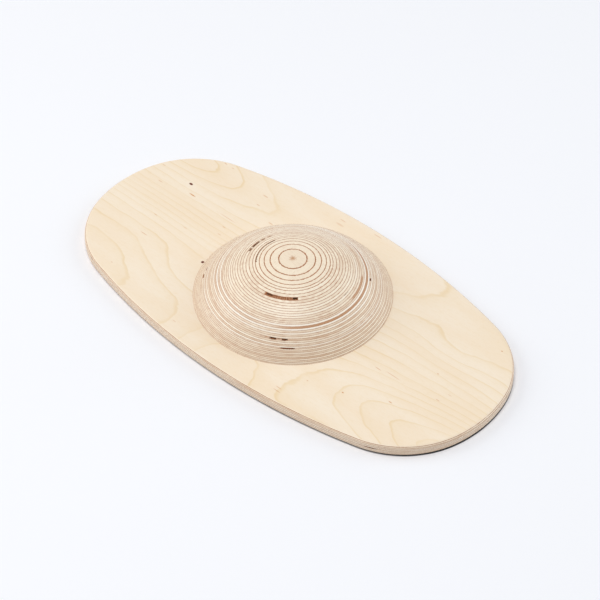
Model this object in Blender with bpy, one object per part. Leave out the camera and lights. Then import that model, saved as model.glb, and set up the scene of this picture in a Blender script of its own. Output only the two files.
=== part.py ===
"""Balance board of birch plywood: a long oval deck with a turned plywood dome glued to its middle.

The board lies as it is stored, standing face down and dome up. In use it is turned over, and it
rocks on the dome. The origin is on the floor under the middle of the deck: +X runs along the
board, +Y across it, +Z up through the dome. Lengths are in metres.
"""

import math

import bmesh
import bpy

# Deck outline: end arcs, corner arcs and side arcs, each tangent to the next.
DECK_LENGTH = 0.598
DECK_WIDTH = 0.303
END_RADIUS = 0.160
SIDE_RADIUS = 0.821
CORNER_RADIUS = 0.116
EDGE_ROUND = 0.004

# Dome: a cap of a sphere, turned from four boards glued face to face.
DOME_DIAMETER = 0.240
DOME_HEIGHT = 0.0572

# Birch boards, as veneer thicknesses from the lower face up. The faces are sanded thinner.
THIN_BOARD = [0.0010] + 9 * [0.0014] + [0.0010]
THICK_BOARD = [0.0013] + 11 * [0.00143] + [0.0010]
DOME_BOARDS = (("base", THIN_BOARD), ("lower", THICK_BOARD), ("upper", THICK_BOARD), ("cap", THICK_BOARD))
GLUE_LINE = 0.0001

# Beech dowels that locate the dome on the deck.
DOWEL_DIAMETER = 0.008
DOWEL_LENGTH = 0.025
DOWEL_CHAMFER = 0.001
DOWEL_CLEARANCE = 0.0002
DOWEL_COUNT = 3
DOWEL_CIRCLE_RADIUS = 0.070
DOWEL_UNCUT_DECK_PLIES = 3

# Fineness of the round shapes.
END_STEPS = 6
CORNER_STEPS = 8
SIDE_STEPS = 6
DOME_STEPS = 48
DOWEL_STEPS = 12
CAP_STEPS = 4
MERGE_DISTANCE = 0.000001
SHARP_ANGLE = math.radians(30)

DECK_THICKNESS = sum(THIN_BOARD)
DOME_RADIUS = DOME_DIAMETER / 2
SPHERE_RADIUS = (DOME_RADIUS**2 + DOME_HEIGHT**2) / (2 * DOME_HEIGHT)


def clear_scene():
    for item in list(bpy.data.objects):
        bpy.data.objects.remove(item)


def wood(name, colour, roughness):
    """A Principled material for bare or clear-lacquered wood."""
    material = bpy.data.materials.new(name)
    material.use_nodes = True
    shader = material.node_tree.nodes["Principled BSDF"]
    shader.inputs["Base Color"].default_value = (*colour, 1)
    shader.inputs["Roughness"].default_value = roughness
    shader.inputs["Metallic"].default_value = 0
    material.diffuse_color = (*colour, 1)
    return material


def add_object(name, bm, material, parent):
    """Turns a finished bmesh into a named, smooth-shaded object."""
    bmesh.ops.recalc_face_normals(bm, faces=bm.faces)
    mesh = bpy.data.meshes.new(name)
    bm.to_mesh(mesh)
    bm.free()
    mesh.materials.append(material)
    mesh.shade_smooth()
    mesh.set_sharp_from_angle(angle=SHARP_ANGLE)
    item = bpy.data.objects.new(name, mesh)
    item.parent = parent
    bpy.context.collection.objects.link(item)
    return item


def corner_centre():
    """Centre of the corner arc at +X +Y, which touches the end arc and the side arc from inside."""
    end_x = DECK_LENGTH / 2 - END_RADIUS
    side_y = DECK_WIDTH / 2 - SIDE_RADIUS
    end_reach = END_RADIUS - CORNER_RADIUS
    side_reach = SIDE_RADIUS - CORNER_RADIUS
    span = math.hypot(end_x, side_y)
    along = (end_reach**2 - side_reach**2 + span**2) / (2 * span)
    across = math.sqrt(end_reach**2 - along**2)
    step_x = -end_x / span
    step_y = side_y / span
    return end_x + along * step_x - across * step_y, along * step_y + across * step_x


def arc(centre, radius, start, end, steps):
    """Points along an arc, without its last one."""
    angles = [start + (end - start) * i / steps for i in range(steps)]
    return [(centre[0] + radius * math.cos(a), centre[1] + radius * math.sin(a)) for a in angles]


def deck_outline(inset):
    """The deck's outline, counter-clockwise from +X, moved inwards by inset."""
    end = (DECK_LENGTH / 2 - END_RADIUS, 0)
    side = (0, DECK_WIDTH / 2 - SIDE_RADIUS)
    corner = corner_centre()
    end_angle = math.atan2(corner[1] - end[1], corner[0] - end[0])
    side_angle = math.atan2(corner[1] - side[1], corner[0] - side[0])
    quarter = arc(end, END_RADIUS - inset, 0, end_angle, END_STEPS)
    quarter += arc(corner, CORNER_RADIUS - inset, end_angle, side_angle, CORNER_STEPS)
    quarter += arc(side, SIDE_RADIUS - inset, side_angle, math.pi / 2, SIDE_STEPS)
    top = (0, DECK_WIDTH / 2 - inset)
    half = quarter + [top] + [(-x, y) for x, y in reversed(quarter)]
    return half + [(x, -y) for x, y in reversed(half[1:-1])]


def edge_angle(depth):
    """Angle round the edge's quarter circle at a depth below the nearer face, 0 at the face."""
    return math.acos(1 - min(depth, EDGE_ROUND) / EDGE_ROUND)


def edge_levels(low, high):
    """Heights and insets of the rounded edge between two heights in the deck."""
    middle = DECK_THICKNESS / 2
    if low < middle < high or (high <= middle and low >= EDGE_ROUND):
        return [(low, 0), (high, 0)]
    if low >= middle:
        mirrored = edge_levels(DECK_THICKNESS - high, DECK_THICKNESS - low)
        return [(DECK_THICKNESS - height, inset) for height, inset in reversed(mirrored)]
    start = edge_angle(low)
    end = edge_angle(high)
    steps = max(1, round((end - start) / math.radians(18)))
    levels = []
    for i in range(steps + 1):
        angle = start + (end - start) * i / steps
        levels.append((EDGE_ROUND * (1 - math.cos(angle)), EDGE_ROUND * (1 - math.sin(angle))))
    levels[-1] = (high, levels[-1][1])
    return levels


def deck_ply(name, low, high, material, parent):
    """One veneer of the deck, between two heights, with its share of the rounded edge."""
    bm = bmesh.new()
    rings = []
    for height, inset in edge_levels(low, high):
        rings.append([bm.verts.new((x, y, height)) for x, y in deck_outline(inset)])
    bm.faces.new(rings[0])
    bm.faces.new(rings[-1])
    for lower, upper in zip(rings, rings[1:]):
        for i in range(len(lower)):
            bm.faces.new((lower[i - 1], lower[i], upper[i], upper[i - 1]))
    return add_object(name, bm, material, parent)


def turned(name, profile, steps, material, parent):
    """A solid turned from a profile of (radius, height) points that starts and ends on the Z axis."""
    bm = bmesh.new()
    points = [bm.verts.new((radius, 0, height)) for radius, height in profile]
    edges = [bm.edges.new(pair) for pair in zip(points, points[1:])]
    bmesh.ops.spin(
        bm, geom=points + edges, cent=(0, 0, 0), axis=(0, 0, 1), angle=2 * math.pi, steps=steps, use_merge=True
    )
    bmesh.ops.remove_doubles(bm, verts=bm.verts, dist=MERGE_DISTANCE)
    return add_object(name, bm, material, parent)


def dome_radius(rise):
    """Radius of the dome at a height above the deck."""
    return math.sqrt(max(0, SPHERE_RADIUS**2 - (rise + SPHERE_RADIUS - DOME_HEIGHT) ** 2))


def dome_ply(name, low, high, material, parent):
    """One veneer of the dome, between two heights above the deck."""
    steps = CAP_STEPS if high == DOME_HEIGHT else 1
    rises = [low + (high - low) * (1 - ((steps - i) / steps) ** 2) for i in range(steps + 1)]
    wall = [(dome_radius(rise), DECK_THICKNESS + rise) for rise in rises]
    start = [(0, DECK_THICKNESS + low)]
    end = [] if high == DOME_HEIGHT else [(0, DECK_THICKNESS + high)]
    return turned(name, start + wall + end, DOME_STEPS, material, parent)


def build_deck(grains, parent):
    """The deck's veneers, from the standing face up to the face that carries the dome."""
    plies = []
    low = 0
    for number, thickness in enumerate(THIN_BOARD):
        last = number == len(THIN_BOARD) - 1
        high = DECK_THICKNESS if last else low + thickness - GLUE_LINE
        name = f"deck_ply_{number + 1:02d}"
        plies.append(deck_ply(name, low, high, grains[number % 2], parent))
        low += thickness
    return plies


def build_dome(grains, parent):
    """The dome's veneers, board by board. The top board is turned down to a few of its own."""
    plies = []
    low = GLUE_LINE
    seam = 0
    for board, veneers in DOME_BOARDS:
        for number, thickness in enumerate(veneers):
            if low >= DOME_HEIGHT:
                break
            seam += thickness
            high = DOME_HEIGHT if seam >= DOME_HEIGHT else seam
            name = f"dome_{board}_ply_{number + 1:02d}"
            plies.append(dome_ply(name, low, high, grains[number % 2], parent))
            low = seam + GLUE_LINE
    return plies


def dowel_places():
    angles = [2 * math.pi * i / DOWEL_COUNT for i in range(DOWEL_COUNT)]
    return [(DOWEL_CIRCLE_RADIUS * math.cos(a), DOWEL_CIRCLE_RADIUS * math.sin(a)) for a in angles]


def dowel_hole_range():
    """Heights of the blind ends of a dowel hole: on a deck veneer and under the second dome board."""
    bottom = sum(THIN_BOARD[:DOWEL_UNCUT_DECK_PLIES])
    return bottom, DECK_THICKNESS + sum(THIN_BOARD)


def build_dowels(material, parent):
    low, high = dowel_hole_range()
    bottom = (low + high - DOWEL_LENGTH) / 2
    top = bottom + DOWEL_LENGTH
    radius = DOWEL_DIAMETER / 2
    narrow = radius - DOWEL_CHAMFER
    profile = [(0, bottom), (narrow, bottom), (radius, bottom + DOWEL_CHAMFER)]
    profile += [(radius, top - DOWEL_CHAMFER), (narrow, top), (0, top)]
    for number, (x, y) in enumerate(dowel_places()):
        dowel = turned(f"dowel_{number + 1}", profile, DOWEL_STEPS, material, parent)
        dowel.location = (x, y, 0)


def cut_dowel_holes(plies):
    """Cuts the dowel holes through every veneer that lies between the holes' blind ends."""
    low, high = dowel_hole_range()
    bm = bmesh.new()
    for x, y in dowel_places():
        made = bmesh.ops.create_cone(
            bm,
            cap_ends=True,
            segments=DOWEL_STEPS,
            radius1=DOWEL_DIAMETER / 2 + DOWEL_CLEARANCE,
            radius2=DOWEL_DIAMETER / 2 + DOWEL_CLEARANCE,
            depth=high - low,
        )
        bmesh.ops.translate(bm, verts=made["verts"], vec=(x, y, (low + high) / 2))
    cutter = add_object("dowel_hole_cutter", bm, plies[0].data.materials[0], plies[0].parent)
    cutter.hide_render = True
    cutter.display_type = "WIRE"
    for ply in plies:
        heights = [corner[2] for corner in ply.bound_box]
        if low <= (min(heights) + max(heights)) / 2 <= high:
            cut = ply.modifiers.new("dowel holes", "BOOLEAN")
            cut.operation = "DIFFERENCE"
            cut.solver = "EXACT"
            cut.object = cutter


def main():
    clear_scene()
    board = bpy.data.objects.new("balance_board", None)
    bpy.context.collection.objects.link(board)
    along = wood("birch_along", (0.83, 0.72, 0.56), 0.42)
    across = wood("birch_across", (0.66, 0.52, 0.37), 0.48)
    beech = wood("beech", (0.66, 0.47, 0.32), 0.6)
    plies = build_deck((along, across), board)
    plies += build_dome((along, across), board)
    build_dowels(beech, board)
    cut_dowel_holes(plies)


main()
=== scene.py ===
"""Looks of the balance board: every birch veneer, the glue lines between them, bark and knots.

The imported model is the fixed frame. Each veneer is built again here with a fine cut edge, between
the heights that the frame gives, and stands for its node. Lengths are in metres. Azimuths round
the dome are in degrees, counter-clockwise from +X.
"""

import math

import bpy
import numpy as np
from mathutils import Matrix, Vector


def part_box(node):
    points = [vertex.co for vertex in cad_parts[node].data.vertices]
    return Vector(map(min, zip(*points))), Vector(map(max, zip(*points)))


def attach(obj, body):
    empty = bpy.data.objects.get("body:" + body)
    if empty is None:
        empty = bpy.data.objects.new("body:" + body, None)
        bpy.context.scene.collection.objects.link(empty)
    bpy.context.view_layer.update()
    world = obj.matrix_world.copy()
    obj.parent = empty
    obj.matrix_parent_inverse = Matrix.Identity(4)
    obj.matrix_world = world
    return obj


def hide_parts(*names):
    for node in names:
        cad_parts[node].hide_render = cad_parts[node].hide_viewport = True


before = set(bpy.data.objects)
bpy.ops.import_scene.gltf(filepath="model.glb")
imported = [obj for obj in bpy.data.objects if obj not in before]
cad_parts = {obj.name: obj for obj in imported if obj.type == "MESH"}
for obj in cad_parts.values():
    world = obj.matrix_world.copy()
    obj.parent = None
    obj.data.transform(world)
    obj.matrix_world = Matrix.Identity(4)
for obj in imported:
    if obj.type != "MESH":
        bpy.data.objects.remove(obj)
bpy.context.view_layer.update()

# Outline radii of the deck and the radius of its rounded edge, as in the design.
END_RADIUS = 0.160
SIDE_RADIUS = 0.821
CORNER_RADIUS = 0.116
EDGE_ROUND = 0.004

# Fineness of the meshes: points along each arc of a quarter outline, and round the dome.
ARC_STEPS = 40
DOME_SEGMENTS = 360
FINE_SEGMENTS = 1440
RIM_LEVELS = (0, 0.05, 0.15, 0.5, 0.85, 0.95, 1)
FINE_LEVELS = (0, 0.05, 0.14, 0.24, 0.35, 0.45, 0.55, 0.65, 0.76, 0.86, 0.95, 1)
ROUNDING_STEPS = 24
CAP_RINGS = 24

# Width of the ring that joins the deck's rounded edge to its flat face.
FACE_MARGIN = 0.001
# Distance between two outlines of the deck that give the direction straight into its edge.
INWARD_STEP = 0.001
# Angle from which the edges of a glue film are sharp.
CREASE_ANGLE = math.radians(30)

FULL_TURN = 360
DECK_SEED = 11
DOME_SEED = 7
CENTRE_SEED = 5

# Range of tone from veneer to veneer, and how much the tone varies round one veneer in broad
# and in fine waves.
DECK_TONE_RANGE = 0.15
DOME_TONE_RANGE = 0.12
BROAD_GRAIN = 0.10
FINE_GRAIN = 0.08
# How much the veneers near the top of the dome, which show broad, vary round the dome.
CAP_UNEVENNESS = 0.25
# How far the ends of a stretch of heartwood wander, as a share of a turn.
HEARTWOOD_WANDER = 0.004

# How far the ends of a pocket wander, as a share of a turn.
DECK_POCKET_WANDER = 0.0006
DOME_POCKET_WANDER = 0.0012
# How soft and how frayed a pocket's lower and upper limits are, as shares of the thickness.
POCKET_SOFTNESS = 0.15
POCKET_FRAYING = 0.10

# The small hollow that the lathe's centre left at the top of the dome, and the brown mark there.
CENTRE_RADIUS = 0.0013
CENTRE_DEPTH = 0.0001
CENTRE_MARK_RADIUS = 0.0060
CENTRE_MARK_WANDER = 0.3
CENTRE_MARK_TONE = -0.75

# Distance that the glue colours the wood on each side of a glue line, at its least and its most.
STAIN_LEAST = 0.00004
STAIN_MOST = 0.00011
STAIN_BLUR = 0.00003
# How far the edge of a stain wanders up and down.
STAIN_WANDER = 0.00003

# Share of bark from which a piece of the cut edge is raw bark, without lacquer.
RAW_BARK = 0.4

# Roughness of a cut edge on long grain and on end grain.
LACQUERED_ROUGHNESS = (0.38, 0.46)
RAW_ROUGHNESS = (0.8, 0.95)
# Index of refraction of wood and glue alike.
WOOD_IOR = 1.45
FLOOR_ROUGHNESS = 0.9
DULL_SPECULAR = 0.1

CAMERA_AZIMUTH = math.radians(42.84)
CAMERA_ELEVATION = math.radians(44.40)
CAMERA_DISTANCE = 2.736
CAMERA_TARGET = Vector((0.0042, 0.0079, 0))
CAMERA_LENS = 136.56
SENSOR_WIDTH = 36

STUDIO_STRENGTH = 0.44
# Softboxes: name, direction from the object, distance, size, power, colour.
SOFTBOXES = (
    ("overhead_softbox", (0.04, -0.20, 0.98), 3.6, 1.5, 46, (1.00, 1.00, 1.00)),
    ("left_softbox", (-0.75, -0.43, 0.50), 4.2, 3.0, 65, (1.00, 0.99, 0.96)),
    ("right_softbox", (0.45, 0.78, 0.42), 4.2, 3.0, 53, (0.92, 0.97, 1.00)),
)
FLOOR_SIZE = 12
FLOOR_HEIGHT = -0.0001
# The floor is in deep shade under the edge of the board that is turned away from the left
# softbox, which is the edge that faces this way; this shade is painted on a dark sheet.
SHADED_SIDE = (0.94, -0.34)
SHADE_HEIGHT = -0.00005
# Distance outside the board's outline, and share of painted shade.
CONTACT_SHADE = (
    (-0.0200, 1.0),
    (-0.0004, 1.0),
    (0.0000, 0.75),
    (0.0004, 0.20),
    (0.0008, 0.0),
)

DECK_LOW, DECK_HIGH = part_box("deck_ply_06")
LENGTH = DECK_HIGH.x - DECK_LOW.x
WIDTH = DECK_HIGH.y - DECK_LOW.y
DECK_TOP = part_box("deck_ply_11")[1].z
DOME_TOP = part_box("dome_cap_ply_05")[1].z
DOME_HEIGHT = DOME_TOP - DECK_TOP
DOME_RADIUS = 0.120
SPHERE_RADIUS = (DOME_RADIUS**2 + DOME_HEIGHT**2) / (2 * DOME_HEIGHT)

DECK_PLIES = sorted(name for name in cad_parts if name.startswith("deck_ply"))
DOME_PLIES = [
    name
    for board in ("base", "lower", "upper", "cap")
    for name in sorted(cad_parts)
    if name.startswith(f"dome_{board}_ply")
]

# Tone of whole veneers of the dome: above 0 is paler than the rest, below 0 is browner. The
# palest are partly a painted highlight that stands for the sheen of their long grain.
VENEER_TONES_AND_SHEEN = {
    "dome_upper_ply_04": 0.2,
    "dome_lower_ply_12": 0.65,
    "dome_lower_ply_11": 0.1,
    "dome_lower_ply_10": 0.75,
    "dome_lower_ply_09": -0.15,
    "dome_lower_ply_08": 0.5,
    "dome_lower_ply_07": -0.2,
    "dome_lower_ply_06": 0.15,
    "dome_lower_ply_05": -0.3,
    "dome_lower_ply_04": -0.1,
    "dome_lower_ply_03": 0.35,
    "dome_lower_ply_02": -0.25,
    "dome_lower_ply_01": 0.5,
    "dome_base_ply_11": -0.2,
    "dome_base_ply_10": 0.15,
    "dome_base_ply_09": -0.2,
    "dome_base_ply_08": 0.1,
    "dome_base_ply_07": -0.15,
    "dome_base_ply_06": 0.1,
    "dome_base_ply_05": -0.16,
    "dome_base_ply_04": 0.08,
    "dome_base_ply_03": -0.12,
    "dome_base_ply_02": 0.1,
    "dome_base_ply_01": -0.22,
    "dome_cap_ply_05": -0.12,
}
# Stretches of heartwood in the dome's veneers: node, start and end azimuth, tone, length of the
# fade at both ends.
HEARTWOOD = (
    ("dome_upper_ply_01", 11, 39, -0.8, 5),
    ("dome_upper_ply_02", 45, 80, -0.4, 14),
    ("dome_lower_ply_13", -138, -75, -0.38, 40),
    ("dome_lower_ply_11", -60, 83, -0.85, 30),
    ("dome_lower_ply_11", -145, -66, -0.42, 40),
    ("dome_lower_ply_09", -175, -120, -0.45, 20),
    ("dome_lower_ply_05", -66, -47, -0.5, 6),
    ("dome_base_ply_05", -110, -20, -0.4, 50),
)
# How much less far the glue has soaked into single veneers. Below 0, how much further.
JOINT_DRYNESS = {
    "deck_ply_11": -0.00008,
    "deck_ply_10": -0.00004,
    "dome_cap_ply_04": 0.00003,
    "dome_cap_ply_05": 0.00007,
}
# Pockets of bark and open voids: node, start and end azimuth, lowest and highest share of the
# veneer's thickness, bark, painted shade in the open hollow, how deep the cut edge is torn out.
POCKETS = (
    ("dome_upper_ply_10", -82, -41, -0.1, 1.1, 1.0, 0.0, 0.0006),
    ("dome_upper_ply_10", -79, -71, 0.1, 0.9, 1.0, 0.6, 0.0012),
    ("dome_upper_ply_10", -47, -41.5, 0.0, 1.0, 1.0, 0.9, 0.0025),
    ("dome_upper_ply_10", 159, 165, 0.2, 0.9, 0.7, 0.1, 0.0004),
    ("dome_upper_ply_10", 169, 174, 0.1, 0.9, 0.9, 0.4, 0.0008),
    ("dome_upper_ply_10", 177, 190, 0.0, 1.0, 1.0, 0.8, 0.0016),
    ("dome_upper_ply_10", 192.5, 198, 0.0, 0.9, 1.0, 0.7, 0.0014),
    ("dome_cap_ply_01", 162, 177, -0.1, 0.36, 1.0, 1.0, 0.0005),
    ("dome_cap_ply_01", 175, 223, -0.1, 0.30, 1.0, 0.7, 0.0003),
    ("dome_upper_ply_04", 6, 13, 0.75, 1.1, 0.8, 0.7, 0.0006),
    ("dome_lower_ply_09", 38.6, 41.4, -0.1, 1.1, 1.0, 1.0, 0.0012),
    ("dome_lower_ply_05", -62.5, -58.4, -0.1, 1.1, 1.0, 1.0, 0.0020),
    ("dome_lower_ply_04", -62.2, -58.7, 0.7, 1.1, 1.0, 1.0, 0.0010),
    ("dome_lower_ply_05", -54.4, -50.8, -0.1, 1.1, 1.0, 1.0, 0.0020),
    ("dome_lower_ply_04", -54.1, -51.1, 0.7, 1.1, 1.0, 1.0, 0.0010),
    ("dome_lower_ply_05", -58, -55, 0.3, 0.9, 0.7, 0.2, 0.0004),
    ("dome_lower_ply_05", -70, -63, 0.4, 0.9, 0.6, 0.0, 0.0002),
    ("dome_lower_ply_02", 69.2, 70.8, 0.5, 1.0, 0.7, 0.4, 0.0005),
    ("dome_base_ply_11", -54.5, -46.5, -0.1, 1.1, 1.0, 1.0, 0.0020),
    ("dome_base_ply_10", -53.5, -47.5, 0.75, 1.1, 1.0, 0.8, 0.0010),
    ("dome_base_ply_11", 206.9, 209.4, -0.1, 1.1, 1.0, 1.0, 0.0015),
    ("dome_base_ply_10", 213.2, 215.6, -0.1, 1.1, 1.0, 1.0, 0.0015),
)
# Pockets in the deck's cut edge, placed along its outline as shares of its length from +X.
EDGE_POCKETS = (
    ("deck_ply_08", 0.083, 0.087, 0.1, 0.9, 0.8, 0.4, 0.0005),
    ("deck_ply_05", 0.420, 0.432, 0.0, 1.0, 0.9, 0.5, 0.0008),
    ("deck_ply_09", 0.655, 0.660, 0.2, 0.9, 0.8, 0.4, 0.0005),
    ("deck_ply_06", 0.842, 0.851, 0.0, 0.9, 0.9, 0.5, 0.0008),
    ("deck_ply_03", 0.930, 0.934, 0.1, 0.9, 0.8, 0.3, 0.0005),
)


def srgb(red, green, blue):
    """A linear colour from 0 to 255 display values."""
    values = [value / 255 for value in (red, green, blue)]
    return [v / 12.92 if v <= 0.04045 else ((v + 0.055) / 1.055) ** 2.4 for v in values]


# Wood colours as they look in even light.
FACE_PALE = srgb(248, 233, 212)
FACE_WARM = srgb(246, 227, 201)
FACE_LINE = srgb(234, 206, 156)
LONG_GRAIN = srgb(250, 236, 213)
END_GRAIN = srgb(230, 208, 181)
PALE_WOOD_AND_SHEEN = srgb(254, 247, 234)
BROWN_WOOD = srgb(186, 130, 84)
STAIN = srgb(178, 118, 76)
GLUE_DARK = srgb(150, 92, 58)
GLUE_LIGHT = srgb(180, 120, 78)
BARK = srgb(172, 112, 70)
BARK_DARK = srgb(124, 76, 50)
FLECK = srgb(212, 150, 90)
KNOT = srgb(104, 34, 0)
# Near black of an open hollow in a veneer: painted shade.
VOID_SHADE = srgb(14, 7, 4)
BEECH_PALE = srgb(222, 190, 152)
BEECH_DARK = srgb(196, 156, 116)
FLOOR = srgb(247, 248, 252)
SKY = srgb(249, 250, 252)
# Colour of the painted shade on the floor under the board's shaded edge.
PAINTED_SHADE = srgb(62, 64, 70)

# Bumps in the growth rings under the dome side of the deck: x, y, half length, half width,
# height. The contour lines of rings and bumps together are the figure of the veneer.
DOME_SIDE_FIGURE = (
    (-0.300, 0.095, 0.120, 0.026, 2.3),
    (-0.130, 0.150, 0.080, 0.050, -1.5),
    (0.080, 0.110, 0.080, 0.050, 1.3),
    (0.275, 0.130, 0.085, 0.055, 1.6),
    (0.205, 0.055, 0.035, 0.025, 0.9),
    (0.350, -0.075, 0.160, 0.055, -7.0),
    (0.180, -0.070, 0.050, 0.035, -0.8),
    (-0.240, -0.120, 0.070, 0.040, -1.2),
    (-0.110, -0.065, 0.060, 0.025, 1.3),
    (0.010, -0.150, 0.060, 0.050, 1.8),
    (0.110, -0.140, 0.050, 0.030, -0.9),
    (0.200, 0.020, 0.090, 0.030, -0.8),
)
STANDING_FIGURE = (
    (0.260, 0.100, 0.130, 0.030, 2.6),
    (0.040, 0.060, 0.090, 0.030, 1.8),
    (-0.060, -0.050, 0.110, 0.035, -2.2),
    (-0.330, -0.060, 0.150, 0.050, -5.5),
    (-0.180, 0.120, 0.080, 0.040, 1.4),
    (0.160, -0.130, 0.070, 0.040, 1.5),
)
# Dark knots on those faces, and faint flecks: x, y, half length, half width, strength.
DOME_SIDE_KNOTS = (
    (-0.2280, 0.0568, 0.0030, 0.0018, 1.0),
    (-0.1170, -0.0352, 0.0021, 0.0021, 1.0),
)
DOME_SIDE_FLECKS = (
    (-0.2124, 0.0432, 0.0056, 0.0009, 0.80),
    (-0.2112, 0.0430, 0.0030, 0.0006, 0.80),
    (0.1780, -0.0216, 0.0110, 0.0006, 0.45),
    (-0.1432, 0.1036, 0.0045, 0.0009, 0.45),
    (-0.1388, 0.0856, 0.0032, 0.0007, 0.46),
    (-0.1040, 0.0712, 0.0040, 0.0009, 0.45),
    (-0.2230, 0.1144, 0.0026, 0.0007, 0.52),
    (-0.2100, 0.1140, 0.0026, 0.0007, 0.40),
    (-0.0420, 0.1360, 0.0050, 0.0008, 0.40),
    (-0.0400, 0.1280, 0.0065, 0.0016, 0.28),
    (0.0084, 0.1440, 0.0065, 0.0008, 0.40),
    (-0.2600, 0.0344, 0.0040, 0.0006, 0.52),
    (-0.2790, 0.0596, 0.0030, 0.0006, 0.40),
    (-0.1416, 0.0272, 0.0030, 0.0006, 0.52),
    (-0.1368, 0.0140, 0.0030, 0.0006, 0.40),
    (-0.1500, 0.0424, 0.0140, 0.0005, 0.46),
    (-0.1760, -0.0060, 0.0040, 0.0006, 0.34),
    (-0.2200, -0.0136, 0.0030, 0.0006, 0.52),
    (-0.2060, -0.0476, 0.0060, 0.0006, 0.57),
    (-0.1980, -0.1100, 0.0016, 0.0008, 0.34),
    (-0.0708, -0.1300, 0.0030, 0.0007, 0.34),
    (0.1532, -0.0808, 0.0016, 0.0009, 0.86),
    (0.1108, -0.0944, 0.0014, 0.0007, 0.52),
    (0.2032, -0.0552, 0.0028, 0.0007, 0.75),
    (0.1580, -0.0248, 0.0050, 0.0005, 0.63),
    (0.2140, 0.0160, 0.0016, 0.0009, 0.46),
    (0.2408, -0.0160, 0.0030, 0.0006, 0.52),
    (0.2452, 0.0944, 0.0014, 0.0008, 0.80),
    (0.2460, -0.0008, 0.0030, 0.0006, 0.34),
    (0.0940, -0.1250, 0.0045, 0.0006, 0.50),
    (0.0960, -0.1300, 0.0060, 0.0006, 0.48),
)
STANDING_KNOTS = (
    (0.1310, 0.0720, 0.0026, 0.0016, 0.9),
    (-0.0940, -0.0980, 0.0050, 0.0008, 0.5),
)
STANDING_FLECKS = (
    (0.2200, -0.0310, 0.0040, 0.0010, 0.50),
    (0.1480, 0.0610, 0.0060, 0.0009, 0.50),
    (0.0640, -0.0440, 0.0030, 0.0010, 0.40),
    (0.0120, 0.1190, 0.0045, 0.0011, 0.50),
    (-0.0560, 0.0240, 0.0030, 0.0009, 0.35),
    (-0.1300, 0.0830, 0.0040, 0.0010, 0.45),
    (-0.1890, -0.0160, 0.0060, 0.0008, 0.45),
    (-0.2370, 0.0520, 0.0026, 0.0010, 0.40),
    (-0.2480, -0.0670, 0.0030, 0.0011, 0.50),
    (0.1010, -0.1120, 0.0040, 0.0009, 0.45),
)


# ---------------------------------------------------------------- materials


class Graph:
    """Short calls for adding shader nodes. A socket or a plain value can be any input."""

    def __init__(self, name):
        self.material = bpy.data.materials.new(name)
        self.material.use_nodes = True
        self.tree = self.material.node_tree
        self.shader = self.tree.nodes["Principled BSDF"]

    def feed(self, socket, value):
        if isinstance(value, bpy.types.NodeSocket):
            self.tree.links.new(value, socket)
        elif socket.type == "RGBA":
            socket.default_value = (*value, 1)
        else:
            socket.default_value = value

    def math(self, operation, *values, clamp=False):
        node = self.tree.nodes.new("ShaderNodeMath")
        node.operation = operation
        node.use_clamp = clamp
        for socket, value in zip(node.inputs, values):
            self.feed(socket, value)
        return node.outputs[0]

    def vector(self, operation, *values):
        node = self.tree.nodes.new("ShaderNodeVectorMath")
        node.operation = operation
        for socket, value in zip(node.inputs, values):
            self.feed(socket, value)
        return node.outputs["Value" if operation in ("DOT_PRODUCT", "LENGTH") else "Vector"]

    def place(self):
        return self.tree.nodes.new("ShaderNodeTexCoord").outputs["Object"]

    def normal(self):
        return self.tree.nodes.new("ShaderNodeTexCoord").outputs["Normal"]

    def parts(self, vector):
        node = self.tree.nodes.new("ShaderNodeSeparateXYZ")
        self.feed(node.inputs[0], vector)
        return node.outputs[0], node.outputs[1], node.outputs[2]

    def attribute(self, name):
        node = self.tree.nodes.new("ShaderNodeAttribute")
        node.attribute_name = name
        return node.outputs["Fac"]

    def noise(self, vector, stretch, detail=2, roughness=0.5):
        """Noise with the given number of cells per metre along each axis."""
        node = self.tree.nodes.new("ShaderNodeTexNoise")
        self.feed(node.inputs["Vector"], self.vector("MULTIPLY", vector, stretch))
        node.inputs["Scale"].default_value = 1
        node.inputs["Detail"].default_value = detail
        node.inputs["Roughness"].default_value = roughness
        return node.outputs["Fac"]

    def smooth(self, value, low, high, to_low=0, to_high=1):
        """Smooth step of value between low and high."""
        node = self.tree.nodes.new("ShaderNodeMapRange")
        node.interpolation_type = "SMOOTHSTEP"
        for socket, given in zip(node.inputs, (value, low, high, to_low, to_high)):
            self.feed(socket, given)
        return node.outputs[0]

    def mix(self, factor, first, second):
        node = self.tree.nodes.new("ShaderNodeMix")
        node.data_type = "RGBA"
        self.feed(node.inputs[0], factor)
        self.feed(node.inputs[6], first)
        self.feed(node.inputs[7], second)
        return node.outputs[2]

    def bump(self, height, distance, strength):
        node = self.tree.nodes.new("ShaderNodeBump")
        node.inputs["Strength"].default_value = strength
        node.inputs["Distance"].default_value = distance
        self.feed(node.inputs["Height"], height)
        return node.outputs[0]

    def finish(self, colour, roughness, bump, lacquered=True):
        """Feeds the shader of wood, which is under a clear satin lacquer or raw."""
        self.feed(self.shader.inputs["Base Color"], colour)
        self.feed(self.shader.inputs["Roughness"], roughness)
        self.feed(self.shader.inputs["Normal"], bump)
        self.shader.inputs["IOR"].default_value = WOOD_IOR
        if not lacquered:
            self.shader.inputs["Specular IOR Level"].default_value = DULL_SPECULAR
        return self.material

    def finish_floor(self, colour):
        """Feeds the shader of the dull studio floor."""
        self.feed(self.shader.inputs["Base Color"], colour)
        self.shader.inputs["Roughness"].default_value = FLOOR_ROUGHNESS
        self.shader.inputs["Specular IOR Level"].default_value = DULL_SPECULAR
        return self.material


def bump_fall(graph, flat, x, y, half_length, half_width):
    """0.45 at the half length and half width round a point, and 1 at the point."""
    away = graph.vector("SUBTRACT", flat, (x, y, 0))
    away = graph.vector("MULTIPLY", away, (1 / half_length, 1 / half_width, 0))
    return graph.math("POWER", 0.45, graph.vector("DOT_PRODUCT", away, away))


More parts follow.
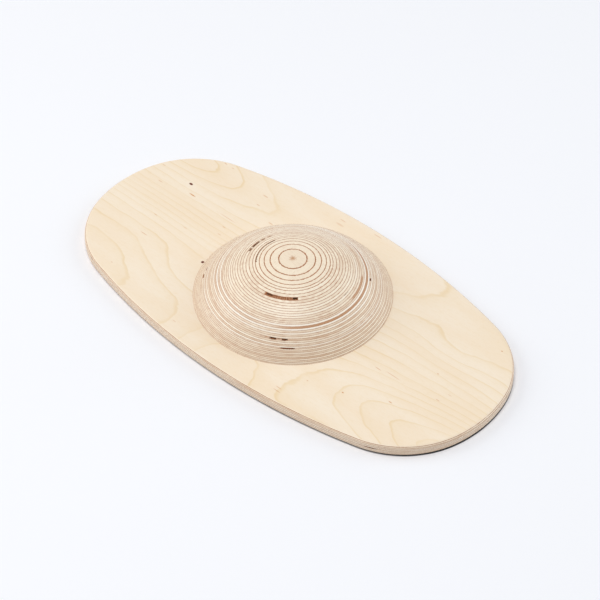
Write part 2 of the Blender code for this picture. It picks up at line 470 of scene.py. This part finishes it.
def growth_rings(graph, flat, bumps):
    """Height over the growth rings: crowded rings along the middle, and the bumps."""
    x, y, _ = graph.parts(flat)
    wander = graph.noise(flat, (7, 16, 1), 3)
    wobble = graph.noise(flat, (45, 70, 1), 2, 0.6)
    to_end = graph.math("TANH", graph.math("DIVIDE", x, 0.12))
    crowding = graph.math("MULTIPLY_ADD", to_end, -1.7, 4.8)
    across = graph.math("TANH", graph.math("DIVIDE", graph.math("SUBTRACT", y, 0.008), 0.052))
    rings = graph.math("MULTIPLY", across, crowding)
    rings = graph.math("MULTIPLY_ADD", wander, 0.9, rings)
    rings = graph.math("MULTIPLY_ADD", wobble, 0.2, rings)
    for *bump, height in bumps:
        rings = graph.math("MULTIPLY_ADD", bump_fall(graph, flat, *bump), height, rings)
    return rings


def spots(graph, flat, colour, places, spot_colour):
    """Colour with small soft spots, drawn out along the grain."""
    for x, y, half_length, half_width, strength in places:
        fall = bump_fall(graph, flat, x, y, half_length, half_width)
        spot = graph.smooth(fall, 0.3, 0.75, 0, strength)
        colour = graph.mix(spot, colour, spot_colour)
    return colour


def face_colour(graph, flat, bumps, knots, flecks):
    """Colour of a rotary-cut birch face: broad tones, growth lines, fine fibre and small knots."""
    phase = graph.math("FRACT", growth_rings(graph, flat, bumps))
    shade = graph.math("MULTIPLY", graph.smooth(phase, 0.35, 0.93), graph.smooth(phase, 1, 0.93))
    line = graph.math("MULTIPLY", graph.smooth(phase, 0.84, 0.95), graph.smooth(phase, 1, 0.95))
    band = graph.noise(flat, (5, 28, 1), 3)
    fibre = graph.noise(flat, (50, 1300, 1), 2, 0.6)
    mottle = graph.noise(flat, (130, 320, 1), 3, 0.7)
    patch = graph.noise(flat, (12, 18, 1), 2)
    colour = graph.mix(graph.smooth(band, 0.3, 0.7), FACE_PALE, FACE_WARM)
    depth = graph.smooth(patch, 0.35, 0.65, 0.18, 0.55)
    colour = graph.mix(graph.math("MULTIPLY", shade, 0.12), colour, FACE_LINE)
    colour = graph.mix(graph.math("MULTIPLY", line, depth), colour, FACE_LINE)
    colour = graph.mix(graph.smooth(mottle, 0.45, 0.75, 0, 0.16), colour, FACE_LINE)
    colour = graph.mix(graph.smooth(fibre, 0.45, 0.8, 0, 0.12), colour, FACE_LINE)
    halos = [(x, y, 3 * length, 3 * width, 0.5 * strength) for x, y, length, width, strength in knots]
    colour = spots(graph, flat, colour, halos, FACE_PALE)
    colour = spots(graph, flat, colour, flecks, FLECK)
    colour = spots(graph, flat, colour, knots, KNOT)
    return colour, line, fibre


def rim_colour(graph, grain, place):
    """Colour of a veneer's cut edge: end grain where the edge crosses the fibres, else long grain."""
    across_fibre = graph.math("ABSOLUTE", graph.parts(graph.normal())[0 if grain == "x" else 1])
    end = graph.smooth(across_fibre, 0.15, 0.95)
    pores = graph.noise(place, (900, 900, 900), 2, 0.7)
    fibre = graph.noise(place, (40, 900, 1800) if grain == "x" else (900, 40, 1800), 2, 0.6)
    colour = graph.mix(end, LONG_GRAIN, END_GRAIN)
    speckle = graph.math("MULTIPLY", graph.smooth(pores, 0.5, 0.75, 0, 0.28), end)
    colour = graph.mix(speckle, colour, STAIN)
    long_grain = graph.math("SUBTRACT", 1, end)
    silk = graph.math("MULTIPLY", graph.smooth(fibre, 0.45, 0.8, 0, 0.2), long_grain)
    colour = graph.mix(silk, colour, STAIN)
    tone = graph.attribute("tone")
    # Paler by the tone, which on the palest dome veneers is partly a painted highlight of long-grain
    # sheen.
    colour = graph.mix(graph.math("MULTIPLY", tone, 1, clamp=True), colour, PALE_WOOD_AND_SHEEN)
    colour = graph.mix(graph.math("MULTIPLY", tone, -1, clamp=True), colour, BROWN_WOOD)
    ragged = graph.noise(place, (700, 700, 200), 2, 0.7)
    reach = graph.smooth(ragged, 0.3, 0.7, STAIN_LEAST, STAIN_MOST)
    beyond = graph.math("SUBTRACT", graph.attribute("glue_distance"), reach)
    colour = graph.mix(graph.smooth(beyond, STAIN_BLUR, -STAIN_BLUR), colour, STAIN)
    flaky = graph.noise(place, (400, 400, 700), 3, 0.8)
    bark = graph.mix(graph.smooth(flaky, 0.42, 0.62), BARK, BARK_DARK)
    colour = graph.mix(graph.attribute("bark"), colour, bark)
    # Open hollows are painted near black: painted shade in the hollow.
    colour = graph.mix(graph.attribute("void_shade"), colour, VOID_SHADE)
    return colour, pores, fibre, end


def rim_material(name, grain, turned, lacquered=True):
    """A veneer of which only the cut edge shows, with the fine rings of the lathe if turned."""
    graph = Graph(name)
    place = graph.place()
    colour, pores, fibre, end = rim_colour(graph, grain, place)
    height = graph.math("MULTIPLY_ADD", pores, 0.6, fibre)
    if turned:
        rings = graph.noise(place, (0, 0, 2600), 2, 0.7)
        height = graph.math("MULTIPLY_ADD", rings, 0.8, height)
    least, most = LACQUERED_ROUGHNESS if lacquered else RAW_ROUGHNESS
    bump = graph.bump(height, 0.00004, 0.5)
    return graph.finish(colour, graph.smooth(end, 0, 1, least, most), bump, lacquered)


def rim_materials(name, turned):
    """Lacquered and raw materials for the veneers along X, then for those across."""
    pairs = []
    for grain in "xy":
        lacquered = rim_material(f"{name}_{grain}", grain, turned)
        raw = rim_material(f"{name}_{grain}_raw", grain, turned, False)
        pairs.append((lacquered, raw))
    return pairs


def face_material(name, bumps, knots, flecks):
    """A face veneer of the deck: figured on its flat, long and end grain on its rounded edge."""
    graph = Graph(name)
    place = graph.place()
    flat = graph.vector("MULTIPLY", place, (1, 1, 0))
    face, line, fibre = face_colour(graph, flat, bumps, knots, flecks)
    rim = rim_colour(graph, "x", place)[0]
    upright = graph.math("ABSOLUTE", graph.parts(graph.normal())[2])
    colour = graph.mix(graph.smooth(upright, 0.80, 0.97), rim, face)
    height = graph.math("MULTIPLY_ADD", line, -0.4, fibre)
    roughness = graph.smooth(fibre, 0.2, 0.8, 0.40, 0.48)
    return graph.finish(colour, roughness, graph.bump(height, 0.00003, 0.4))


def glue_material():
    """Cured brown glue, a little uneven in tone."""
    graph = Graph("cured_glue")
    uneven = graph.noise(graph.place(), (220, 220, 220), 2, 0.6)
    colour = graph.mix(graph.smooth(uneven, 0.3, 0.7), GLUE_DARK, GLUE_LIGHT)
    return graph.finish(colour, 0.45, graph.bump(uneven, 0.00002, 0.3))


def beech_material():
    """Dowel rod: upright straight grain with the short dark rays of beech."""
    graph = Graph("turned_beech")
    place = graph.place()
    grain = graph.noise(place, (700, 700, 30), 3, 0.6)
    rays = graph.noise(place, (1500, 1500, 260), 1)
    colour = graph.mix(graph.smooth(grain, 0.3, 0.7), BEECH_PALE, BEECH_DARK)
    colour = graph.mix(graph.smooth(rays, 0.62, 0.72, 0, 0.5), colour, STAIN)
    roughness = graph.smooth(grain, 0.2, 0.8, 0.5, 0.6)
    return graph.finish(colour, roughness, graph.bump(grain, 0.00005, 0.5))


# ---------------------------------------------------------------- outlines


def corner_centre():
    """Centre of the corner arc at +X +Y, which touches the end arc and the side arc from inside."""
    end_x = LENGTH / 2 - END_RADIUS
    side_y = WIDTH / 2 - SIDE_RADIUS
    end_reach = END_RADIUS - CORNER_RADIUS
    side_reach = SIDE_RADIUS - CORNER_RADIUS
    span = math.hypot(end_x, side_y)
    along = (end_reach**2 - side_reach**2 + span**2) / (2 * span)
    across = math.sqrt(end_reach**2 - along**2)
    step_x = -end_x / span
    step_y = side_y / span
    return end_x + along * step_x - across * step_y, along * step_y + across * step_x


def arc(centre, radius, start, end):
    """Points along an arc, without its last one."""
    angles = start + (end - start) * np.arange(ARC_STEPS) / ARC_STEPS
    return np.stack([centre[0] + radius * np.cos(angles), centre[1] + radius * np.sin(angles)], -1)


def deck_outline(inset):
    """The deck's outline, counter-clockwise from +X, moved inwards by inset."""
    end = (LENGTH / 2 - END_RADIUS, 0)
    side = (0, WIDTH / 2 - SIDE_RADIUS)
    corner = corner_centre()
    end_angle = math.atan2(corner[1] - end[1], corner[0] - end[0])
    side_angle = math.atan2(corner[1] - side[1], corner[0] - side[0])
    quarter = np.concatenate([
        arc(end, END_RADIUS - inset, 0, end_angle),
        arc(corner, CORNER_RADIUS - inset, end_angle, side_angle),
        arc(side, SIDE_RADIUS - inset, side_angle, math.pi / 2),
        [(0, WIDTH / 2 - inset)],
    ])
    half = np.concatenate([quarter, quarter[-2::-1] * (-1, 1)])
    return np.concatenate([half, half[-2:0:-1] * (1, -1)])


def edge_inset(height):
    """How far the rounded edge lies inside the outline at a height in the deck."""
    depth = min(height, DECK_TOP - height)
    if depth >= EDGE_ROUND:
        return 0
    return EDGE_ROUND - math.sqrt(EDGE_ROUND**2 - (EDGE_ROUND - depth) ** 2)


def deck_section(height):
    """The deck's outline at a height."""
    return deck_outline(edge_inset(height))


def dome_radius(height):
    """Radius of the dome at a height above the floor."""
    return math.sqrt(max(0, SPHERE_RADIUS**2 - (height - DOME_TOP + SPHERE_RADIUS) ** 2))


def circle(radius, count):
    """Points on a circle round the dome's axis, counter-clockwise from +X."""
    angles = np.linspace(0, 2 * math.pi, count, endpoint=False)
    return radius * np.stack([np.cos(angles), np.sin(angles)], -1)


def at_height(outline, height):
    """A flat outline lifted to a height."""
    return np.column_stack([outline, np.full(len(outline), height)])


# ---------------------------------------------------------------- variation round a cut edge


def step(value):
    """Smooth step from 0 to 1."""
    share = np.clip(value, 0, 1)
    return share * share * (3 - 2 * share)


def ripple(rng, turn, slowest, fastest, count=12):
    """Smooth random values round one turn, mostly from -1 to 1, with from slowest to fastest waves."""
    waves = rng.integers(slowest, fastest + 1, count)
    phases = rng.uniform(0, 2 * math.pi, count)
    values = sum(np.sin(2 * math.pi * wave * turn + phase) for wave, phase in zip(waves, phases))
    return values / math.sqrt(count)


def stretch(turn, start, end, fade):
    """1 from start to end, as shares of a turn, and down to 0 within half the fade beyond them."""
    away = np.abs((turn - (start + end) / 2 + 0.5) % 1 - 0.5)
    return step(((end - start) / 2 + fade / 2 - away) / fade)


def edge_values(rng, turn, low, high, heights, tone, unevenness, glued_below, glued_above):
    """Point values of a cut edge: rows are heights, columns are places round it."""
    rows = np.array(heights)[:, None]
    below = rows - low if glued_below else rows * 0 + 1
    above = high - rows if glued_above else rows * 0 + 1
    below = below - STAIN_WANDER * ripple(rng, turn, 2, 60)
    above = above - STAIN_WANDER * ripple(rng, turn, 2, 60)
    grain = BROAD_GRAIN * ripple(rng, turn, 1, 9) + FINE_GRAIN * ripple(rng, turn, 12, 60)
    return {
        "glue_distance": np.minimum(below, above),
        "tone": rows * 0 + tone + unevenness * grain,
        "bark": np.zeros((len(heights), len(turn))),
        "void_shade": np.zeros((len(heights), len(turn))),
    }


def tear_pockets(rng, turn, low, high, heights, values, pockets, wander):
    """Adds the pockets to the point values. Returns how deep each point is torn in."""
    share = ((np.array(heights) - low) / (high - low))[:, None]
    torn = np.zeros((len(heights), len(turn)))
    for start, end, bottom, top, bark, void_shade, depth in pockets:
        shift = wander * ripple(rng, turn, 150, 500)
        along = stretch(turn + shift, start, end, 2 * wander)
        frayed = POCKET_FRAYING * ripple(rng, turn, 60, 400)
        above_bottom = step((share - bottom + frayed) / POCKET_SOFTNESS)
        below_top = step((top + frayed - share) / POCKET_SOFTNESS)
        across = above_bottom * below_top
        pocket = along * across
        chipped = step(0.8 + 0.6 * ripple(rng, turn, 100, 450))
        values["bark"] = np.maximum(values["bark"], pocket * bark * (0.75 + 0.25 * chipped))
        # How much of the painted shade of an open hollow each point gets.
        values["void_shade"] = np.maximum(values["void_shade"], pocket * void_shade * (0.85 + 0.15 * chipped))
        torn = np.maximum(torn, pocket * depth * (0.4 + 0.6 * chipped))
    return torn


# ---------------------------------------------------------------- pieces


def solid_of_rings(name, rings, values, rim_rings):
    """A closed solid from rings of points, lowest first. The edges round its rim are sharp."""
    rings = np.asarray(rings, float)
    levels, count = rings.shape[:2]
    here = np.arange(count)
    ahead = np.roll(here, -1)
    faces = [here[::-1].tolist(), (here + (levels - 1) * count).tolist()]
    for level in range(levels - 1):
        low = level * count
        high = low + count
        faces += np.stack([low + here, low + ahead, high + ahead, high + here], -1).tolist()
    mesh = bpy.data.meshes.new(name)
    mesh.from_pydata(rings.reshape(-1, 3).tolist(), [], faces)
    mesh.shade_smooth()
    ends = np.empty(2 * len(mesh.edges), int)
    mesh.edges.foreach_get("vertices", ends)
    level_of = ends.reshape(-1, 2) // count
    sharp = (level_of[:, 0] == level_of[:, 1]) & np.isin(level_of[:, 0], rim_rings)
    mesh.attributes.new("sharp_edge", "BOOLEAN", "EDGE").data.foreach_set("value", sharp)
    for key, value in values.items():
        layer = mesh.attributes.new(key, "FLOAT", "POINT")
        layer.data.foreach_set("value", np.asarray(value, np.float32).reshape(-1))
    item = bpy.data.objects.new(name, mesh)
    bpy.context.scene.collection.objects.link(item)
    return item


def add_veneer(node, rings, values, materials, rim_rings):
    """A finished veneer that stands for its node. Its second material is for its bark pockets."""
    item = solid_of_rings(f"birch_{node}", rings, values, rim_rings)
    item.data.materials.append(materials[0])
    bark = values["bark"]
    beside = (bark + np.roll(bark, -1, 1)) / 2
    raw = ((beside[:-1] + beside[1:]) / 2 > RAW_BARK).reshape(-1)
    if raw.any():
        item.data.materials.append(materials[1])
        flat_faces = np.zeros(2, bool)
        slots = np.concatenate([flat_faces, raw]).astype(np.int32)
        item.data.polygons.foreach_set("material_index", slots)
    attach(item, "root")
    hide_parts(node)


def between(low, high, levels):
    return [low + (high - low) * level for level in levels]


def rounding_heights(low, high, upward):
    """Heights over a face veneer's part of the rounded edge, closest where it curves in."""
    drops = EDGE_ROUND * (1 - np.cos(np.linspace(0, math.pi / 2, ROUNDING_STEPS)))
    drops = [drop for drop in drops if drop < high - low - STAIN_BLUR] + [high - low]
    return [high - drop for drop in reversed(drops)] if upward else [low + drop for drop in drops]


def build_deck(rims, faces):
    """The deck's veneers with the rounded edge running over them."""
    rng = np.random.default_rng(DECK_SEED)
    turn = np.arange(len(deck_outline(0))) / len(deck_outline(0))
    for node in DECK_PLIES:
        low, high = (corner.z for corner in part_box(node))
        bottom = node == DECK_PLIES[0]
        top = node == DECK_PLIES[-1]
        outer = bottom or top
        heights = rounding_heights(low, high, top) if outer else between(low, high, FINE_LEVELS)
        tone = rng.uniform(-DECK_TONE_RANGE, DECK_TONE_RANGE)
        values = edge_values(rng, turn, low, high, heights, tone, 1, not bottom, not top)
        values["glue_distance"] += JOINT_DRYNESS.get(node, 0)
        pockets = [pocket[1:] for pocket in EDGE_POCKETS if pocket[0] == node]
        torn = tear_pockets(rng, turn, low, high, heights, values, pockets, DECK_POCKET_WANDER)
        rings = []
        for height, depths in zip(heights, torn):
            outline = deck_section(height)
            inner = deck_outline(edge_inset(height) + INWARD_STEP)
            rings.append(at_height(outline + (inner - outline) * depths[:, None] / INWARD_STEP, height))
        if outer:
            face = at_height(deck_outline(EDGE_ROUND + FACE_MARGIN), high if top else low)
            rings.insert(len(rings) if top else 0, face)
            for key, value in values.items():
                plain = np.full((1, len(turn)), 1.0 if key == "glue_distance" else 0.0)
                values[key] = np.vstack([value, plain] if top else [plain, value])
        last = len(rings) - 1
        rim_rings = [0] if top else [last] if bottom else [0, last]
        rim = rims[int(node[-2:]) % 2 == 0]
        materials = (faces[0], rim[1]) if bottom else (faces[1], rim[1]) if top else rim
        add_veneer(node, rings, values, materials, rim_rings)


def cap_heights(low):
    """Heights of the top veneer's rings, evenly spread over its radius."""
    radii = dome_radius(low) * (1 - np.arange(CAP_RINGS) / CAP_RINGS)
    return [DOME_TOP - SPHERE_RADIUS + math.sqrt(SPHERE_RADIUS**2 - radius**2) for radius in radii]


def mark_centre(rings, values):
    """Sinks the lathe centre's hollow at the top of the dome, with the brown mark round it."""
    rng = np.random.default_rng(CENTRE_SEED)
    for level, ring in enumerate(rings):
        radius = math.hypot(*ring[0, :2])
        ring[:, 2] -= CENTRE_DEPTH * max(0, 1 - (radius / CENTRE_RADIUS) ** 2)
        turn = np.arange(len(ring)) / len(ring)
        reach = CENTRE_MARK_RADIUS * (1 + CENTRE_MARK_WANDER * ripple(rng, turn, 2, 9))
        values["tone"][level] += CENTRE_MARK_TONE * step(1 - radius / reach)


def build_dome(rims):
    """The dome's veneers, turned to the sphere."""
    rng = np.random.default_rng(DOME_SEED)
    marked = {row[0] for row in POCKETS}
    for node in DOME_PLIES:
        low, high = (corner.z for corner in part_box(node))
        last = node == DOME_PLIES[-1]
        count = FINE_SEGMENTS if node in marked or last else DOME_SEGMENTS
        turn = np.arange(count) / count
        levels = FINE_LEVELS if node in marked else RIM_LEVELS
        heights = cap_heights(low) if last else between(low, high, levels)
        tone = VENEER_TONES_AND_SHEEN.get(node, rng.uniform(-DOME_TONE_RANGE, DOME_TONE_RANGE))
        unevenness = 0 if last else CAP_UNEVENNESS if "cap" in node else 1
        values = edge_values(rng, turn, low, high, heights, tone, unevenness, True, not last)
        values["glue_distance"] += JOINT_DRYNESS.get(node, 0)
        for name, start, end, brown, fade in HEARTWOOD:
            if name == node:
                wavy = turn + HEARTWOOD_WANDER * ripple(rng, turn, 3, 30)
                part = stretch(wavy, start / FULL_TURN, end / FULL_TURN, fade / FULL_TURN)
                values["tone"] += part * (brown - values["tone"])
        pockets = [
            (start / FULL_TURN, end / FULL_TURN, *rest)
            for name, start, end, *rest in POCKETS
            if name == node
        ]
        torn = tear_pockets(rng, turn, low, high, heights, values, pockets, DOME_POCKET_WANDER)
        rings = []
        for height, depths in zip(heights, torn):
            radius = dome_radius(height)
            rings.append(at_height(circle(1, count) * (radius - depths)[:, None], height))
        if last:
            mark_centre(rings, values)
        rim_rings = [0] if last else [0, len(rings) - 1]
        add_veneer(node, rings, values, rims[int(node[-2:]) % 2 == 0], rim_rings)


def glue_film(section, low, high):
    """Rings of a thin film between two heights, with the cut edge given by section."""
    return [at_height(section(height), height) for height in (low, high)]


def build_glue(name, nodes, section, material):
    """Glue films that fill the gaps between neighbouring veneers, flush with the cut edges."""
    points = []
    faces = []
    for lower, upper in zip(nodes, nodes[1:]):
        rings = glue_film(section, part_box(lower)[1].z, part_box(upper)[0].z)
        count = len(rings[0])
        first = sum(len(ring) for ring in points)
        here = first + np.arange(count)
        ahead = first + (np.arange(count) + 1) % count
        faces += [here[::-1].tolist(), (here + count).tolist()]
        faces += np.stack([here, ahead, ahead + count, here + count], -1).tolist()
        points += rings
    mesh = bpy.data.meshes.new(name)
    mesh.from_pydata(np.concatenate(points).tolist(), [], faces)
    mesh.shade_smooth()
    mesh.set_sharp_from_angle(angle=CREASE_ANGLE)
    mesh.materials.append(material)
    item = bpy.data.objects.new(name, mesh)
    bpy.context.scene.collection.objects.link(item)
    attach(item, "root")


# ---------------------------------------------------------------- studio


def build_floor():
    bpy.ops.mesh.primitive_plane_add(size=FLOOR_SIZE, location=(0, 0, FLOOR_HEIGHT))
    floor = bpy.context.object
    floor.name = "studio_floor"
    floor.data.materials.append(Graph("pale_floor").finish_floor(FLOOR))


def build_contact_shade():
    """A sheet of painted shade on the floor under the board, dark along the shaded side of the outline.
    """
    graph = Graph("contact_shade")
    material = graph.finish_floor(graph.mix(graph.attribute("shade"), FLOOR, PAINTED_SHADE))
    rings = [at_height(deck_outline(-outside), SHADE_HEIGHT) for outside, _ in CONTACT_SHADE]
    count = len(rings[0])
    here = np.arange(count)
    ahead = np.roll(here, -1)
    faces = [here.tolist()]
    for ring in range(len(rings) - 1):
        inner = ring * count
        outer = inner + count
        faces += np.stack([inner + here, outer + here, outer + ahead, inner + ahead], -1).tolist()
    mesh = bpy.data.meshes.new("contact_shade")
    mesh.from_pydata(np.concatenate(rings).tolist(), [], faces)
    outward = deck_outline(0) - deck_outline(INWARD_STEP)
    facing = np.clip(outward @ SHADED_SIDE / INWARD_STEP, 0, 1)
    shades = np.concatenate([shade * facing for _, shade in CONTACT_SHADE]).astype(np.float32)
    mesh.attributes.new("shade", "FLOAT", "POINT").data.foreach_set("value", shades)
    mesh.materials.append(material)
    item = bpy.data.objects.new("contact_shade", mesh)
    bpy.context.scene.collection.objects.link(item)


def add_softbox(name, direction, distance, size, power, colour):
    """A square soft light at a distance, pointing at the object."""
    data = bpy.data.lights.new(name, "AREA")
    data.shape = "SQUARE"
    data.size = size
    data.energy = power
    data.color = colour
    item = bpy.data.objects.new(name, data)
    bpy.context.scene.collection.objects.link(item)
    item.location = Vector(direction).normalized() * distance
    item.rotation_euler = (-item.location).to_track_quat("-Z", "Y").to_euler()


def build_light():
    world = bpy.data.worlds.new("studio")
    world.use_nodes = True
    background = world.node_tree.nodes["Background"]
    background.inputs["Color"].default_value = (*SKY, 1)
    background.inputs["Strength"].default_value = STUDIO_STRENGTH
    bpy.context.scene.world = world
    for softbox in SOFTBOXES:
        add_softbox(*softbox)


def build_camera():
    back = Vector((
        math.sin(CAMERA_AZIMUTH) * math.cos(CAMERA_ELEVATION),
        -math.cos(CAMERA_AZIMUTH) * math.cos(CAMERA_ELEVATION),
        math.sin(CAMERA_ELEVATION),
    ))
    data = bpy.data.cameras.new("camera")
    data.lens = CAMERA_LENS
    data.sensor_width = SENSOR_WIDTH
    camera = bpy.data.objects.new("camera", data)
    bpy.context.scene.collection.objects.link(camera)
    camera.location = CAMERA_TARGET + back * CAMERA_DISTANCE
    camera.rotation_euler = (-back).to_track_quat("-Z", "Y").to_euler()
    bpy.context.scene.camera = camera


def main():
    build_camera()
    edges = rim_materials("birch_edge", False)
    turned = rim_materials("birch_turned", True)
    standing = face_material("birch_standing_face", STANDING_FIGURE, STANDING_KNOTS, STANDING_FLECKS)
    dome_side = face_material(
        "birch_dome_side_face", DOME_SIDE_FIGURE, DOME_SIDE_KNOTS, DOME_SIDE_FLECKS
    )
    build_deck(edges, (standing, dome_side))
    build_dome(turned)
    glue = glue_material()
    build_glue("deck_glue_films", DECK_PLIES, deck_section, glue)
    build_glue(
        "dome_glue_films",
        [DECK_PLIES[-1], *DOME_PLIES],
        lambda height: circle(dome_radius(max(height, DECK_TOP)), DOME_SEGMENTS),
        glue,
    )
    beech = beech_material()
    for node in ("dowel_1", "dowel_2", "dowel_3"):
        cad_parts[node].data.materials.clear()
        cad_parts[node].data.materials.append(beech)
    build_floor()
    build_contact_shade()
    build_light()
    bpy.context.scene.view_settings.view_transform = "Standard"


main()
bpy.context.view_layer.update()
